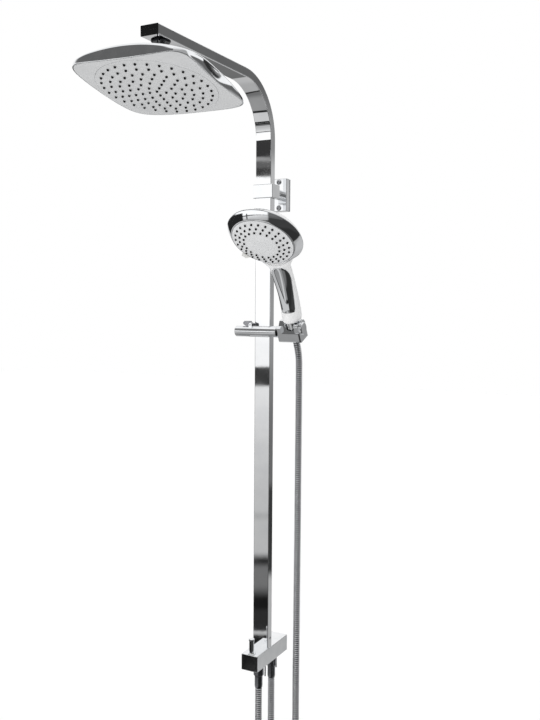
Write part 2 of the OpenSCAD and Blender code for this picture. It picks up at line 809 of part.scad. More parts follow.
// The head fans out from the front of the neck: front and back point of each section in the plane x = 0
function bez(p, t) = pow(1 - t, 3)*p[0] + 3*pow(1 - t, 2)*t*p[1] + 3*(1 - t)*t*t*p[2] + t*t*t*p[3];
neck_front = [handle_y(neck_w) - handle_b(neck_w), neck_w];
neck_back = [handle_y(neck_w) + handle_b(neck_w), neck_w];
rim_front = [0.4, 156.7];
rim_back = [-58.6, 269.1];
front_path = [neck_front, [neck_front.x - 0.5, 156.5], [-13, 159.3], rim_front];
back_path = [neck_back, [neck_back.x + 2, 196], [2, 258], rim_back];
function head_a(t, inset) = lerp(handle_a(neck_w), rim_r, t + 0.1*sin(180*t)) - inset;

function head_ring(t, inset) = let (
    f = bez(front_path, t),
    b = bez(back_path, t),
    mid = (f + b)/2,
    half = norm(b - f)/2
) oval(mid, (b - f)/(2*half), head_a(t, inset), half - inset);

handle_stations = [48.5, 49.1, 50.4, 53.5, 62, 72, 84, 96, 108, 120, 131, 141];
head_stations = [for (k = [0:14]) k/14];

module handset_shell() {
    t = 2.6;
    outside = concat(
        [for (w = handle_stations) oval([handle_y(w), w], [1, 0], handle_a(w), handle_b(w))],
        [for (k = head_stations) head_ring(k, 0)]
    );
    inside = concat(
        [for (k = [14:-1:0]) head_ring(k/14, t)],
        [for (w = [131, 108, 84, 66]) oval([handle_y(w), w], [1, 0], handle_a(w) - t, handle_b(w) - t)],
        [oval([0, 59], [1, 0], 8.1, 8.1)],
        [oval([0, handle_foot_w], [1, 0], 8.1, 8.1)]
    );
    color("white") at_handle() shell_skin(concat(outside, inside));
}

// Chrome inlay on the front of the handle, a leaf that lies on the shell
insert_low = 70;
insert_high = 149;
insert_seat = 0.35;
function insert_half(w) = 52*pow(sin(180*pow((w - insert_low)/(insert_high - insert_low), 0.8)), 0.45) + 0.5;
function insert_point(w, t, off) = [
    (handle_a(w) + off)*sin(t), handle_y(w) - (handle_b(w) + off)*cos(t), w
];

module grip_insert() {
    rows = 16;
    cols = 12;
    grid = [for (side = [0, 1]) [for (i = [0:rows]) [for (j = [0:cols]) let (
        w = lerp(insert_low, insert_high, i/rows),
        t = insert_half(w)*(2*j/cols - 1),
        edge = min(1, 6*(1 - abs(2*j/cols - 1)))*min(1, 6*min(i, rows - i)/rows)
    ) insert_point(w, t, side == 0 ? insert_seat : insert_seat + 0.3 + 0.6*edge)]]];
    n = cols + 1;
    base = (rows + 1)*n;
    points = flatten([for (side = grid) flatten(side)]);
    cells = [for (i = [0:rows - 1], j = [0:cols - 1]) [i*n + j, (i + 1)*n + j, (i + 1)*n + j + 1, i*n + j + 1]];
    inner = flatten([for (c = cells) [[c[0], c[1], c[2]], [c[0], c[2], c[3]]]]);
    outer = flatten([for (c = cells) [[base + c[0], base + c[2], base + c[1]],
        [base + c[0], base + c[3], base + c[2]]]]);
    rim = concat(
        [for (j = [0:cols]) j],
        [for (i = [1:rows]) i*n + cols],
        [for (j = [cols - 1:-1:0]) rows*n + j],
        [for (i = [rows - 1:-1:1]) i*n]
    );
    count = len(rim);
    walls = flatten([for (k = [0:count - 1]) let (a = rim[k], b = rim[(k + 1) % count])
        [[a, b, base + b], [a, base + b, base + a]]]);
    color("silver") at_handle() polyhedron(points = points, faces = concat(inner, outer, walls), convexity = 6);
}

function dish_z(r, back = 0) = dish_r - 2.8 - sqrt(pow(dish_r - back, 2) - r*r);

module handset_fascia() {
    color("silver") at_face() rotate_extrude($fn = 96) polygon([
        [plate_r + 0.25, 5.6], [plate_r + 1.5, 5.9], [56, 9.2], [60, 13.4], [62.6, 17], [rim_r, rim_s - 0.6],
        [rim_r, rim_s - 0.1], [plate_r + 0.25, rim_s - 0.1]
    ]);
}

module spray_carrier() {
    color("white") at_face() difference() {
        union() {
            translate([0, 0, 10]) cylinder(r = 47, h = 6);
            translate([0, 0, 15.9]) cylinder(r = 30, h = 6);
        }
        translate([0, 0, 0]) cylinder(r = 6 + fit, h = 30);
    }
}

module spray_plate() {
    color("gainsboro") at_face() difference() {
        union() {
            rotate_extrude($fn = 96) polygon(concat(
                [for (i = [4:16]) let (r = plate_r*i/16) [r, dish_z(r)]],
                [for (i = [16:-1:4]) let (r = plate_r*i/16) [r, dish_z(r, 3)]]
            ));
            translate([0, 0, dish_z(0, 3) + 0.3]) cylinder(r = plate_r/4 + 0.5, h = 2);
            translate([0, 0, dish_z(0, 3) + 0.3]) cylinder(r = 6, h = 18);
        }
        for (p = spray_spots()) translate([p.x, p.y, -10]) cylinder(r = 1.6, h = 30, $fn = 16);
    }
}

function spray_spots() = flatten([for (ring = [0:2]) [for (k = [0:17 + 3*ring]) let (
    t = 90 + 360*k/(18 + 3*ring), r = 29.8 + 7.45*ring) [r*cos(t), r*sin(t)]]]);

module spray_nozzles() {
    color("dimgray") at_face() for (p = spray_spots()) translate([p.x, p.y, dish_z(norm(p)) - 1.6]) {
        cylinder(r1 = 1, r2 = 1.5, h = 1.8, $fn = 16);
        translate([0, 0, 1.79]) cylinder(r = 1.5, h = 3.4, $fn = 16);
    }
}

module spray_centre() {
    color("whitesmoke") at_face() rotate_extrude() polygon(concat(
        [[0, dish_z(3)]],
        [for (i = [1:4]) let (r = (plate_r/4 - 0.1)*i/4) [r, dish_z(r)]],
        [[plate_r/4 - 0.1, dish_z(0, 3) + 0.25], [0, dish_z(0, 3) + 0.25]]
    ));
}

module selector_tab() {
    color("whitesmoke") at_face() rotate([0, 0, 57]) translate([0, 0, 3.2])
        linear_extrude(2) polygon([[-7, 50], [7, 50], [4.5, 57.5], [-4.5, 57.5]]);
}

// ---------------------------------------------------------------- hoses

// Route points of the hose from the handset down, round and up into the front port
handset_route = [
    [58, -59.7, -255.3], [58, -55.6, -263.8], [58, -51.3, -273.4], [58, -47.8, -285.6], [58, -46.4, -300],
    [58, -46, -340],
    [58, -46, -450], [58, -46, -600], [58, -47, -780], [58, -47, -940], [59, -46, -1020], [62, -45, -1075],
    [67, -42, -1125], [73, -39, -1170], [76.5, -37, -1207], [77, -36, -1238], [70, -40, -1265.5],
    [53, -50, -1285.5], [29, -64, -1293], [5, -78, -1285.5], [-12, -88, -1265.5], [-19, -92, -1238],
    [-18.5, -91.5, -1207], [-15, -89.5, -1170], [-9, -86, -1125], [-4, -83, -1075], [-1, -81, -1030],
    [0, -80.6, -980], [0, -80.6, -930], [0, -80.6, -881.2]
];
feed_route = [[0, -32, -881.2], [0, -32, -1000], [0, -32, -1120], [0, -32, -1239.8]];

function knot(p, i) = p[min(max(i, 0), len(p) - 1)];
function spline(p, i, t) = let (a = knot(p, i - 1), b = p[i], c = knot(p, i + 1), d = knot(p, i + 2))
    0.5*((2*b) + (c - a)*t + (2*a - 5*b + 4*c - d)*t*t + (3*b - a - 3*c + d)*t*t*t);
function path_points(p, pitch) = concat(flatten([
    for (i = [0:len(p) - 2]) let (n = max(1, ceil(norm(p[i + 1] - p[i])/pitch)))
        [for (k = [0:n - 1]) spline(p, i, k/n)]
]), [p[len(p) - 1]]);

module hose(route, pitch, n = 10) {
    path = path_points(route, pitch);
    last = len(path) - 1;
    rings = [for (i = [0:last]) let (
        dir = path[min(i + 1, last)] - path[max(i - 1, 0)],
        t = dir/norm(dir),
        side = cross(t, [0, 1, 0])/norm(cross(t, [0, 1, 0])),
        other = cross(t, side)
    ) [for (j = [0:n - 1]) path[i] + hose_d/2*(cos(360*j/n)*side + sin(360*j/n)*other)]];
    skin(rings);
}

module handset_hose() {
    color("silver") hose(handset_route, 36);
}

module feed_hose() {
    color("silver") hose(feed_route, 36);
}

module feed_nut() {
    color("silver") translate([0, rear_port_y, -1278]) {
        rotate_extrude() polygon([[3, 15.5], [6.2, 15.5], [6.2, 38], [3, 38]]);
        difference() {
            cylinder(r = 13.5, h = 15.5, $fn = 6);
            translate([0, 0, -1]) cylinder(r = 10, h = 13);
            cylinder(r = 3, h = 30);
        }
    }
}

wall_plate();
bracket_cover();
cover_screws();
bracket_stem();
bracket_tee();
stem_grub_screw();
arm_tube();
arm_end_cap();
riser_tube();
joint_sleeve();
joint_orings();
ball_stud();
ball_collar();
seat_ring();
socket_nut();
nut_oring();
head_back_shell();
head_fascia();
head_face_plate();
head_nozzles();
head_water_plate();
diverter_block();
diverter_knob();
diverter_stem();
diverter_orings();
diverter_gland();
post_spigot();
spigot_oring();
post_grub_screw();
port_nipples();
hose_nuts();
hose_ferrules();
port_washers();
locking_pins();
wall_spigot();
slider_body();
brake_shoe();
clamp_lever();
lever_pin();
holder_pivot();
holder_cup();
cup_liner();
friction_washer();
tilt_knob();
cone_nut();
handset_ferrule();
handset_washer();
handset_tail();
handset_shell();
grip_insert();
handset_fascia();
spray_carrier();
spray_plate();
spray_nozzles();
spray_centre();
selector_tab();
handset_hose();
feed_hose();
feed_nut();
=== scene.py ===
import json
import math
import bmesh
import bpy
import numpy as np
from mathutils import Matrix, Vector

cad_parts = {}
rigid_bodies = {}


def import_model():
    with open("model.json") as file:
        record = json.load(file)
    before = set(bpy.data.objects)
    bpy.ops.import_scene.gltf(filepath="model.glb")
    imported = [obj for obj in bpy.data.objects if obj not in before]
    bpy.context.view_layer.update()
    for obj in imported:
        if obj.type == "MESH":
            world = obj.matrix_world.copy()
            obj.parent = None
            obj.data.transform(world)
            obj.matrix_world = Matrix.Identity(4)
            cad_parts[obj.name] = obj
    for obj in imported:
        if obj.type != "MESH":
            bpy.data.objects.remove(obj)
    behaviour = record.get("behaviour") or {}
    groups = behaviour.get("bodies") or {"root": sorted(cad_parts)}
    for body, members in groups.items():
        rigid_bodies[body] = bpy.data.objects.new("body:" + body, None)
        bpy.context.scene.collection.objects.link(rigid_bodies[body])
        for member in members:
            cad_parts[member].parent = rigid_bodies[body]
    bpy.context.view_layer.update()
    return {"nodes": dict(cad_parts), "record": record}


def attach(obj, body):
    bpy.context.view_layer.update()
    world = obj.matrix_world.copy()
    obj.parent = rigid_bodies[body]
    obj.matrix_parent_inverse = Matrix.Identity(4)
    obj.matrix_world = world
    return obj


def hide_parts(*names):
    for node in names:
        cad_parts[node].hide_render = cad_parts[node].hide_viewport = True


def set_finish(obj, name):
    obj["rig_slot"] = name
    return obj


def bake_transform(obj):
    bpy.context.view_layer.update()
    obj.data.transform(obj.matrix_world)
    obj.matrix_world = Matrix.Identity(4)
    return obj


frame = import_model()
nodes = frame["nodes"]
print("frame loaded:", len(nodes), "nodes")

mm = 0.001
sharpAngle = 38  # degrees; where faces meet at more than this, shading isn't smooth


# small tools

def srgb(code):  # sRGB hex to linear RGBA
    channels = [int(code[k:k + 2], 16) / 255 for k in (0, 2, 4)]
    return [c / 12.92 if c <= 0.04045 else ((c + 0.055) / 1.055) ** 2.4 for c in channels] + [1.0]


def addNode(tree, kind, settings=None, inputs=None, links=None):
    node = tree.nodes.new(kind)
    for key, value in (settings or {}).items():
        setattr(node, key, value)
    for key, value in (inputs or {}).items():
        node.inputs[key].default_value = value
    for key, socket in (links or {}).items():
        tree.links.new(socket, node.inputs[key])
    return node


def meshObject(name, verts, faces):
    mesh = bpy.data.meshes.new(name)
    mesh.from_pydata([tuple(v) for v in verts], [], [tuple(f) for f in faces])
    mesh.validate()
    form = bmesh.new()
    form.from_mesh(mesh)
    bmesh.ops.recalc_face_normals(form, faces=form.faces)
    form.to_mesh(mesh)
    form.free()
    mesh.polygons.foreach_set("use_smooth", [True] * len(mesh.polygons))
    mesh.set_sharp_from_angle(angle=math.radians(sharpAngle))
    obj = bpy.data.objects.new(name, mesh)
    bpy.context.scene.collection.objects.link(obj)
    return obj


def ringFaces(rows, sides, closed=False):  # quads from ring to ring, with end caps unless closed
    faces = []
    for i in range(rows if closed else rows - 1):
        for j in range(sides):
            k, n = (j + 1) % sides, (i + 1) % rows
            faces.append((i * sides + j, i * sides + k, n * sides + k, n * sides + j))
    if not closed:
        faces.append(tuple(range(sides - 1, -1, -1)))
        faces.append(tuple((rows - 1) * sides + j for j in range(sides)))
    return faces


def ringObject(name, rings, place):  # a solid whose last ring joins its first
    faces = ringFaces(len(rings), len(rings[0]), closed=True)
    return meshObject(name, place(np.concatenate(rings)), faces)


def roundAngles(count):
    return np.linspace(0, 2 * np.pi, count, endpoint=False)


def ringAt(r, t, z):
    return np.stack([r * np.cos(t), r * np.sin(t), np.full(len(t), z, float)], axis=1)


def quarterTurn(steps):  # the angles of a quarter turn, without its start
    return [math.radians(90 * k / steps) for k in range(1, steps + 1)]


def placedBy(origin, tilt, yaw=0.0):  # local mm to world metres, yawed about Z, then tilted about X
    turn = np.array(Matrix.Rotation(math.radians(tilt), 3, "X")
                    @ Matrix.Rotation(math.radians(yaw), 3, "Z"))
    return lambda points: (np.asarray(points, float) @ turn.T + np.array(origin)) * mm


def ease(t):
    t = np.clip(t, 0, 1)
    return t * t * (3 - 2 * t)


def unit(direction):
    reach = math.sqrt(sum(v * v for v in direction))
    return tuple(v / reach for v in direction)


def dress(piece, body, node, slot):
    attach(piece, body)
    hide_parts(node)
    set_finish(piece, slot)


inHead = placedBy((0, -377, 152), -10.4, 2.8)      # Z up through the rain head's ball joint
inHandle = placedBy((58, -55, -265), 26)           # Z up the handle, Y to its back
inFace = placedBy((58, -185.7, -101.6), -36.3)     # Z from the spray face into the handset


# camera

camera = {
    "place": (0.70323, -1.36597, -0.19296),
    "azimuth": 28.04,  # looks along +Y turned this far towards -X
    "pitch": 3.88,
    "roll": 0.40,
    "lens": 42.02,
}


def makeCamera(c):
    a, p, r = (math.radians(c[k]) for k in ("azimuth", "pitch", "roll"))
    ahead = Vector((-math.sin(a) * math.cos(p), math.cos(a) * math.cos(p), -math.sin(p)))
    right = Vector((math.cos(a), math.sin(a), 0))
    up = right.cross(ahead)
    right, up = right * math.cos(r) + up * math.sin(r), up * math.cos(r) - right * math.sin(r)
    data = bpy.data.cameras.new("camera")
    data.lens = c["lens"]
    data.clip_end = 50
    obj = bpy.data.objects.new("camera", data)
    turn = Matrix((right, up, -ahead)).transposed().to_4x4()
    obj.matrix_world = Matrix.Translation(c["place"]) @ turn
    bpy.context.scene.collection.objects.link(obj)
    bpy.context.scene.camera = obj


makeCamera(camera)


# hoses: a strip wound into a spiral along each route

hoseRoutes = {  # route points in metres, the same as in the CAD source
    "handset": [
        (0.058, -0.0597, -0.2553), (0.058, -0.0556, -0.2638), (0.058, -0.0513, -0.2734),
        (0.058, -0.0478, -0.2856), (0.058, -0.0464, -0.3), (0.058, -0.046, -0.34),
        (0.058, -0.046, -0.45), (0.058, -0.046, -0.6), (0.058, -0.047, -0.78),
        (0.058, -0.047, -0.94), (0.059, -0.046, -1.02), (0.062, -0.045, -1.075),
        (0.067, -0.042, -1.125), (0.073, -0.039, -1.17), (0.0765, -0.037, -1.207),
        (0.077, -0.036, -1.238), (0.07, -0.04, -1.2655), (0.053, -0.05, -1.2855),
        (0.029, -0.064, -1.293), (0.005, -0.078, -1.2855), (-0.012, -0.088, -1.2655),
        (-0.019, -0.092, -1.238), (-0.0185, -0.0915, -1.207), (-0.015, -0.0895, -1.17),
        (-0.009, -0.086, -1.125), (-0.004, -0.083, -1.075), (-0.001, -0.081, -1.03),
        (0, -0.0806, -0.98), (0, -0.0806, -0.93), (0, -0.0806, -0.8812),
    ],
    "feed": [(0, -0.032, -0.8812), (0, -0.032, -1.0), (0, -0.032, -1.12), (0, -0.032, -1.2398)],
}

hose = {
    "diameter": 12.5 * mm,
    "pitch": 3.65 * mm,        # one turn of the double-lock strip
    "crownShare": 0.74,        # of each turn, the part that stands up
    "crownPower": 0.5,         # less makes a squarer crown
    "groove": 1.15 * mm,
    "gapShade": (1.1, 1.7),    # the dark sleeve and the painted shade in the grooves show by the first less the second times the crown
    "ringsPerTurn": 12,
    "sides": 24,
    "routeStep": 2 * mm,
}

hosePieces = {  # where the handset hose passes from one body to the next, going down
    "names": ("hoseTop", "hoseUpper", "hoseLong", "hoseLoop"),
    "breaks": (-0.346, -0.426, -1.19),
    "bodies": (("hose_end", "holder"), ("holder", "slider"), ("slider", "root")),
}


def routeCurve(points):
    pts = [np.array(p, float) for p in points]
    last = len(pts) - 1
    out = []
    for i in range(last):
        a, b, c, d = pts[max(i - 1, 0)], pts[i], pts[i + 1], pts[min(i + 2, last)]
        count = max(1, int(np.ceil(np.linalg.norm(c - b) / hose["routeStep"])))
        for k in range(count):
            t = k / count
            out.append(0.5 * (2 * b + (c - a) * t + (2 * a - 5 * b + 4 * c - d) * t * t
                              + (3 * b - a - 3 * c + d) * t ** 3))
    out.append(pts[-1])
    return np.array(out)


def evenly(path, step):
    lengths = np.linalg.norm(np.diff(path, axis=0), axis=1)
    run = np.concatenate([[0], np.cumsum(lengths)])
    count = max(2, int(round(run[-1] / step)))
    at = np.linspace(0, run[-1], count + 1)
    return np.stack([np.interp(at, run, path[:, k]) for k in range(3)], axis=1), at


def spiralHose(name, path, startRun):
    h = hose
    centres, runs = evenly(path, h["pitch"] / h["ringsPerTurn"])
    tangents = np.gradient(centres, axis=0)
    tangents /= np.linalg.norm(tangents, axis=1)[:, None]
    side = np.cross(tangents, (0, 1, 0))
    side /= np.linalg.norm(side, axis=1)[:, None]
    other = np.cross(tangents, side)
    angle = roundAngles(h["sides"])
    phase = ((startRun + runs)[:, None] / h["pitch"] + angle[None, :] / (2 * np.pi)) % 1.0
    crown = np.clip(np.sin(np.pi * np.clip(phase / h["crownShare"], 0, 1)), 0, 1) ** h["crownPower"]
    radius = h["diameter"] / 2 - h["groove"] * (1 - crown)
    around = (np.cos(angle)[None, :, None] * side[:, None, :]
              + np.sin(angle)[None, :, None] * other[:, None, :])
    verts = centres[:, None, :] + radius[..., None] * around
    obj = meshObject(name, verts.reshape(-1, 3), ringFaces(len(centres), h["sides"]))
    gap = obj.data.attributes.new("gap", "FLOAT", "POINT")  # 1 deep between two turns of the strip; it lays the dark sleeve and painted groove shade
    full, fall = h["gapShade"]
    gap.data.foreach_set("value", np.clip(full - fall * crown, 0, 1).ravel())
    return obj, centres, runs[-1]


def cutRoute(points, breaks):
    path = routeCurve(points)
    pieces, low = [], 0
    for z in breaks:  # each break is a height on the first way down
        high = int(np.argmax(path[:, 2] < z))
        pieces.append(path[low:high + 1])
        low = high
    pieces.append(path[low:])
    return pieces


def hangHose(piece, centres, length, node, farEnd, **more):
    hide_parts(node)
    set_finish(piece, "hose_steel")


handsetHose = []
run = 0.0
for name, route in zip(hosePieces["names"], cutRoute(hoseRoutes["handset"], hosePieces["breaks"])):
    handsetHose.append(spiralHose(name, route, run))
    run += handsetHose[-1][2]
print("handset hose length", round(run, 4))

feedHose = spiralHose("feedHoseSpiral", routeCurve(hoseRoutes["feed"]), 0)

for (piece, centres, length), pair in zip(handsetHose, hosePieces["bodies"]):
    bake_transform(piece)
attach(handsetHose[-1][0], "root")
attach(feedHose[0], "root")
for made in handsetHose:
    hangHose(*made, "handset_hose", "object")
hangHose(*feedHose, "feed_hose", "fitting", with_pieces=["feed_nut"])
print("hoses made")


# rain head: a domed shell with a rounded rim over a gently domed satin underside

rainHead = {
    "width": 189, "length": 184, "squareness": 7,
    # how much further or less far corners reach, as (degrees, share), fading over the spread
    "corners": ((45, 0.05), (225, -0.016), (135, -0.02)), "cornerSpread": 17,
    "topRadius": 300, "underRadius": 940,
    "topHeight": -14.8, "underHeight": -52,  # middles of the two domes, from the ball joint
    "lift": 1.9,               # extra height of the top towards its rim
    "rim": 3.4,                # rounding along the upper edge
    "rimShare": 0.42,          # the most of the wall's height that this rounding takes
    "lowerEdge": 0.5,          # rounding along the lower edge
    "draft": (2, 8.5),         # lean of the wall in degrees, and that in the middle of the sides
    "sideSpan": 22.5,          # degrees to either side of those middles with more lean
    "belly": 0.07,             # swell of the wall
    "bellyShape": (0.375, 0.14),  # share of the wall where it's greatest, and how great
    "lip": 0.7,                # thickness of the lower edge around the fascia
    "seam": 0.7,               # gap between that lip and the fascia
    "skin": 2.4,               # thickness of the shell
    "lipRaise": 0.02,          # keeps the foot of the lip's inside off the underside's dome
    "chamber": 2.6,            # least height of the ceiling above the underside
    "hubRadii": (12, 16), "hubFoot": -34.0,
    "faceRadius": 86,
    "domeSpacing": 0.8,        # under 1 puts the dome's rings closer together towards the rim
    "rings": {"dome": 13, "rim": 8, "wall": 8, "edge": 5},
}


def headOutline(inset, count):
    h = rainHead
    t = roundAngles(count)
    a, b, p = h["width"] / 2 - inset, h["length"] / 2 - inset, h["squareness"]
    r = ((np.abs(np.cos(t)) / a) ** p + (np.abs(np.sin(t)) / b) ** p) ** (-1 / p)
    for corner, more in h["corners"]:
        r = r * (1 + more * np.exp(-((np.degrees(t) - corner) / h["cornerSpread"]) ** 2))
    return r, t


def headTop(r, drop=0.0):
    h = rainHead
    return h["topHeight"] - h["topRadius"] + np.sqrt((h["topRadius"] - drop) ** 2 - r * r)


def headUnder(r, lift=0.0):
    h = rainHead
    return h["underHeight"] + h["underRadius"] - np.sqrt((h["underRadius"] - lift) ** 2 - r * r)


def wallLean(t):  # in degrees, more in the middle of the two sides
    h = rainHead
    least, most = h["draft"]
    fromSide = np.minimum(np.abs((np.degrees(t) + 90) % 180 - 90), h["sideSpan"])
    return least + (most - least) * np.cos(np.radians(90 / h["sideSpan"] * fromSide)).clip(0, 1)


def makeHeadShell(count=480):
    h = rainHead
    many = h["rings"]
    hubInner, hubOuter = h["hubRadii"]
    bellyAt, bellyMost = h["bellyShape"]
    edge, t = headOutline(0, count)
    wallTop, wallLow = headTop(edge) + h["lift"], headUnder(edge)
    tall = wallTop - wallLow
    rim = np.minimum(h["rim"], h["rimShare"] * tall)
    leanIn = tall * np.tan(np.radians(wallLean(t)))
    rings = []
    for k in range(many["dome"] + 1):  # dome, from the hub out to the rim
        share = (k / many["dome"]) ** h["domeSpacing"]
        r = hubInner + share * (edge - rim - leanIn - hubInner)
        rings.append(ringAt(r, t, headTop(r) + h["lift"] * share ** 2))
    for turn in quarterTurn(many["rim"]):  # rounded rim
        r = edge - leanIn - rim * (1 - math.sin(turn))
        rings.append(ringAt(r, t, headTop(r) + h["lift"] - rim * (1 - math.cos(turn))))
    top, low = rings[-1][:, 2], wallLow + h["lowerEdge"]
    for k in range(1, many["wall"] + 1):  # wall, leaning out to its foot with a slight belly
        share = k / many["wall"]
        swell = h["belly"] * tall * ((share - bellyAt) ** 2 - bellyMost)
        r = edge - leanIn * (1 - share) - swell
        rings.append(ringAt(r, t, top + (low - top) * share))
    edge = np.hypot(rings[-1][:, 0], rings[-1][:, 1])
    for turn in quarterTurn(many["edge"]):  # lower edge
        rings.append(ringAt(edge - h["lowerEdge"] * (1 - math.cos(turn)), t,
                            low - h["lowerEdge"] * math.sin(turn)))
    inner = edge - h["lip"]
    for depth in np.linspace(0, h["skin"], 3):  # inside of the lip
        rings.append(ringAt(inner, t, headUnder(inner) + depth + h["lipRaise"]))
    ceiling, t = headOutline(h["skin"], count)
    for share in (1.0, 0.75, 0.5, 0.25):
        r = hubOuter + share * (ceiling - hubOuter)
        z = np.maximum(headTop(r, h["skin"]), headUnder(r) + h["chamber"])
        rings.append(ringAt(r, t, z))
    for r in (hubOuter, hubInner):  # hub down to the socket nut
        rings.append(ringAt(r, t, h["hubFoot"]))
    return ringObject("rainHeadShell", rings, inHead)


fascia = {  # satin part of the underside, from the face plate's seam out to the shell's lip
    "softened": (0.6, 0.55),   # width and depth of its edge along that seam
    "bend": 0.5,               # rounding along its outer edge
    "skin": 2.3,
    "underTop": 1.2,           # least distance below the dome
    "rings": {"underside": 8, "bend": 3},
}


def makeHeadFascia(count=480):
    f = fascia
    start = rainHead["faceRadius"]
    softWide, softDeep = f["softened"]
    edge, t = headOutline(rainHead["lip"] + rainHead["seam"], count)
    rings = []
    for share in np.linspace(0, 1, f["rings"]["underside"] + 1):
        r = start + softWide + share * (edge - (f["bend"] + softWide) - start)
        rings.append(ringAt(r, t, headUnder(r)))
    for turn in quarterTurn(f["rings"]["bend"]):
        r = edge - f["bend"] + f["bend"] * math.sin(turn)
        rings.append(ringAt(r, t, headUnder(r) + f["bend"] * (1 - math.cos(turn))))
    for share in (1.0, 0.5, 0.0):  # back
        r = start + share * (edge - start)
        z = np.minimum(headUnder(r, f["skin"]), headTop(r) - f["underTop"])
        rings.append(ringAt(r, t, z))
    rings.append(ringAt(start, t, headUnder(start) + softDeep))
    return ringObject("rainHeadFascia", rings, inHead)


nozzle = {
    # soft spray tip as (radius, height), from the mouth of the bore to the collar
    "section": [(0.45, 1.2), (0.45, -1.9), (0.75, -2.1), (1.25, -2.05), (1.5, -1.8), (1.72, 0.0),
                (1.88, 0.4), (1.88, 1.2)],
    "sides": 20,
    "headRings": (1, 5, 10, 15, 20, 24, 30), "headPitch": 12.93, "headStart": 172.4,
    "headStretch": 1.08,       # the rain head's tips are this much wider
    "faceRings": ((18, 29.8), (21, 37.25), (24, 44.7)), "faceStart": 90,
    "faceDish": 156, "faceRise": 2.8,  # radius of the handset's domed face, and its middle's rise
}


def nozzleSpots(rings, start, height):  # rings as (number of nozzles, radius)
    spots = []
    for many, r in rings:
        for k in range(many):
            t = math.radians(start + 360 * k / many)
            spots.append((r * math.cos(t), r * math.sin(t), float(height(r))))
    return spots


def faceHeight(r):
    dish = nozzle["faceDish"]
    return dish - nozzle["faceRise"] - math.sqrt(dish ** 2 - r * r)


def makeNozzles(name, spots, place, stretch=1.0):
    t = roundAngles(nozzle["sides"])
    tip = np.concatenate([ringAt(r * stretch, t, z) for r, z in nozzle["section"]])
    tipFaces = ringFaces(len(nozzle["section"]), nozzle["sides"], closed=True)
    verts = np.concatenate([tip + np.array(spot) for spot in spots])
    faces = [tuple(v + k * len(tip) for v in face) for k in range(len(spots)) for face in tipFaces]
    return meshObject(name, place(verts), faces)


headRings = [(many, k * nozzle["headPitch"]) for k, many in enumerate(nozzle["headRings"])]
headTips = makeNozzles("rainNozzles", nozzleSpots(headRings, nozzle["headStart"], headUnder),
                       inHead, nozzle["headStretch"])
faceSpots = nozzleSpots(nozzle["faceRings"], nozzle["faceStart"], faceHeight)
faceTips = makeNozzles("sprayNozzles", faceSpots, inFace)
dress(headTips, "rain_head", "head_nozzles", "silicone")
dress(faceTips, "spray_face", "spray_nozzles", "silicone")
dress(makeHeadShell(), "rain_head", "head_back_shell", "chrome_abs")
dress(makeHeadFascia(), "rain_head", "head_fascia", "satin_grey")
print("rain head made")


# handset: a lofted white shell that bows back up the handle and fans out into the round head

handset = {
    "foot": 48.5, "neck": 150,            # along the handle
    "halfWidth": (16.8, 19), "halfDepth": (18.6, 14.5),  # at the foot and at the neck
    "widensFrom": 90,                     # height from which the handle gets wider
    "middle": (2.6, -1.5), "bow": 5.4,
    "footRound": (5, 1.2),                # height and depth of the rounding at the foot
    "wall": 2.6,
    "collar": 66, "collarProud": 0.25,    # top of the collar that holds the shell's two halves
    "groove": (0.5, 0.45), "grooveRings": (-0.7, -0.35, 0.35, 0.7),  # half its height, its depth
    "rimRadius": 63.5, "rimFront": (0.4, 156.7), "rimBack": (-58.6, 269.1),
    # control points of the curves from neck to rim; the first is measured out from the neck
    "frontCurve": ((-0.5, 156.5), (-13, 159.3)), "backCurve": ((2, 196), (2, 258)),
    "fullness": 0.1,                      # extra width half-way along those curves
    "innerRings": (131, 108, 84, 66), "bore": 8.1, "boreTop": 59,
    "footSteps": 8, "headSteps": 44,
    "handleRings": (8, 34),               # height of the first above the foot, and their number
}


def alongHandle(w):
    return (w - handset["foot"]) / (handset["neck"] - handset["foot"])


def footInset(w):
    high, deep = handset["footRound"]
    rise = np.asarray(w - handset["foot"], float) / high
    return deep * np.where(rise > 1, 0.0, 1 - np.sin(np.pi / 2 * np.clip(rise, 0, 1)))


def handleWidth(w):
    a, b = handset["halfWidth"]
    start = handset["widensFrom"]
    return a + (b - a) * ease((w - start) / (handset["neck"] - start)) - footInset(w)


def handleDepth(w):
    a, b = handset["halfDepth"]
    return a + (b - a) * ease(alongHandle(w)) - footInset(w)


def handleMiddle(w):
    a, b = handset["middle"]
    return a + (b - a) * ease(alongHandle(w)) + handset["bow"] * np.sin(np.pi * alongHandle(w))


def bezier(points, t):
    a, b, c, d = (np.array(p, float) for p in points)
    return (1 - t) ** 3 * a + 3 * (1 - t) ** 2 * t * b + 3 * (1 - t) * t * t * c + t ** 3 * d


def oval(centre, along, a, b, count):
    t = roundAngles(count)
    return np.stack([a * np.cos(t), centre[0] + along[0] * b * np.sin(t),
                     centre[1] + along[1] * b * np.sin(t)], axis=1)


def handleRing(w, out, count):
    return oval((float(handleMiddle(w)), w), (1, 0), float(handleWidth(w)) + out,
                float(handleDepth(w)) + out, count)


def handsetRing(t, inset, count):
    h = handset
    neck = h["neck"]
    middle, depth = float(handleMiddle(neck)), float(handleDepth(neck))
    sides = []
    for start, curve, end in ((middle - depth, h["frontCurve"], h["rimFront"]),
                              (middle + depth, h["backCurve"], h["rimBack"])):
        (out, up), control = curve
        sides.append(bezier(((start, neck), (start + out, up), control, end), t))
    front, back = sides
    half = np.linalg.norm(back - front) / 2
    share = t + h["fullness"] * math.sin(math.pi * t)
    width = float(handleWidth(neck)) * (1 - share) + h["rimRadius"] * share - inset
    return oval((front + back) / 2, (back - front) / (2 * half), width, half - inset, count)


